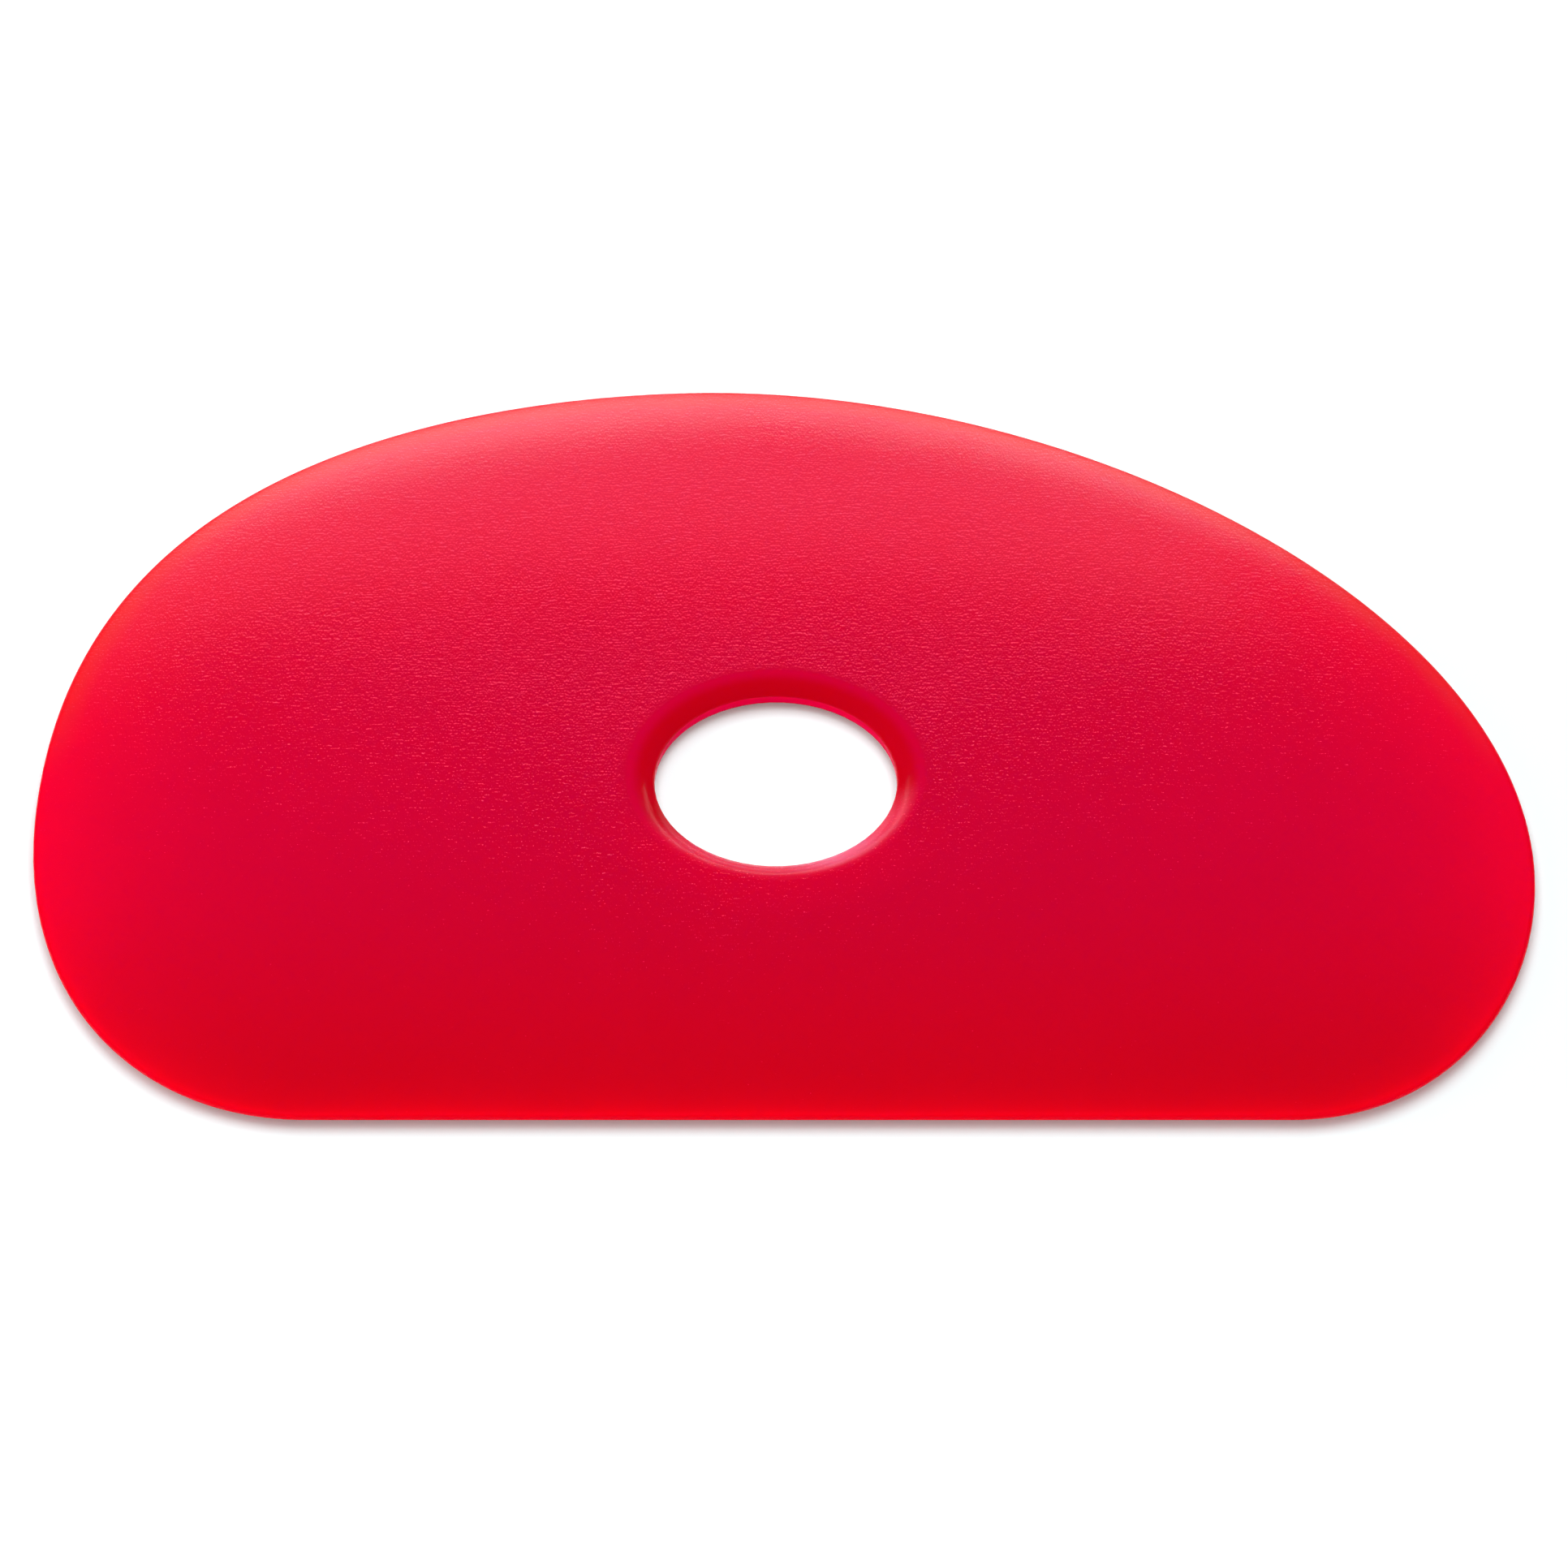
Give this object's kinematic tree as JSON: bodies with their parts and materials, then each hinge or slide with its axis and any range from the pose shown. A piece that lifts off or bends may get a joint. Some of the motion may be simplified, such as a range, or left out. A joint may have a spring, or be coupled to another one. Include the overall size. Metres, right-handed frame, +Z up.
{
  "type": "pottery rib",
  "caption": "Kidney-shaped flexible polymer rib for smoothing and shaping clay, with one straight edge, a curved back, thinned edges and a finger hole.",
  "frame": {"origin": "on the finger hole's axis, halfway through the blade's thickness", "axes": "+X along the straight edge towards the right end, +Y from the straight edge to the curved back, +Z up out of the top face"},
  "size_m": [0.1518, 0.1072, 0.003],
  "materials": {
    "rib_polymer": "soft see-through red polymer, finely blasted mould texture, matte"
  },
  "bodies": {
    "root": {"rib_blade": "rib_polymer"}
  },
  "joints": []
}
